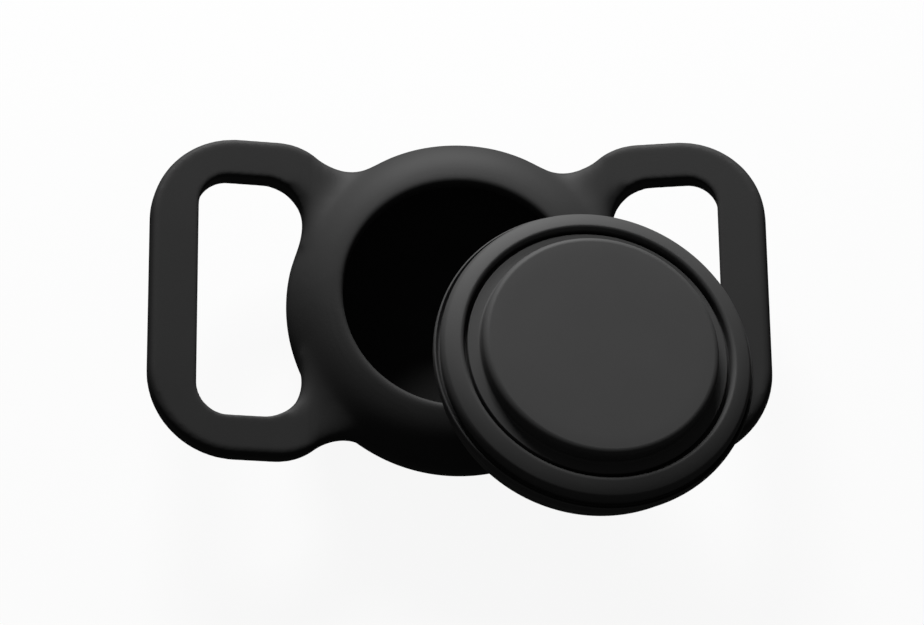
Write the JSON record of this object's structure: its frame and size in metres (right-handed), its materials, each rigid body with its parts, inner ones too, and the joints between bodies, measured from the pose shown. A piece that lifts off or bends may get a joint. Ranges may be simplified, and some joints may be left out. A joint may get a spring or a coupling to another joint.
{
  "type": "tracker tag holder",
  "caption": "Soft holder with a round pocket between strap loops, and a sealed stepped capsule that opens to take a round tracker tag.",
  "frame": {"origin": "centre of the holder's flat back, on the pocket's axis", "axes": "+Z out of the pocket's mouth, away from the flat back; +X towards one strap loop, along the strap; +Y across the strap"},
  "size_m": [0.0678, 0.0472, 0.0297],
  "materials": {
    "silicone": "matte moulded silicone",
    "capsule_plastic": "fine matte moulding",
    "seal_rubber": "matte",
    "tag_plastic": "gloss white",
    "cover_steel": "brushed",
    "cell_steel": "satin nickel",
    "gasket_rubber": "matte",
    "tray_plastic": "matte",
    "contact_metal": "plated spring strip",
    "board_laminate": "lacquered laminate",
    "magnet_metal": "plated",
    "coil_wire": "lacquered wire"
  },
  "bodies": {
    "holder": {"holder": "silicone"},
    "capsule": {"capsule_base": "capsule_plastic", "capsule_seal": "seal_rubber"},
    "tag": {"tag_shell": "tag_plastic", "cover_gasket": "gasket_rubber", "coin_cell": "cell_steel", "battery_tray": "tray_plastic", "battery_contacts": "contact_metal", "circuit_board": "board_laminate", "speaker_magnet": "magnet_metal", "voice_coil": "coil_wire"},
    "cover": {"tag_cover": "cover_steel"},
    "cap": {"capsule_cap": "capsule_plastic"}
  },
  "joints": [
    {"name": "capsule_lift", "type": "slide", "parent": "holder", "child": "capsule", "axis": [0, 0, 1], "range_m": [0, 0.05]},
    {"name": "tag_lift_out", "type": "slide", "parent": "capsule", "child": "tag", "axis": [0.1352, 0.1196, 0.9836], "range_m": [0, 0.016]},
    {"name": "cap_pull_off", "type": "slide", "parent": "tag", "child": "cap", "axis": [0.1352, 0.1196, 0.9836], "range_m": [0, 0.018]},
    {"name": "cover_twist", "type": "hinge", "parent": "tag", "child": "cover", "pos_m": [0.01341, -0.01128, 0.0227], "axis": [0.1352, 0.1196, 0.9836], "range_deg": [-20, 0]}
  ]
}
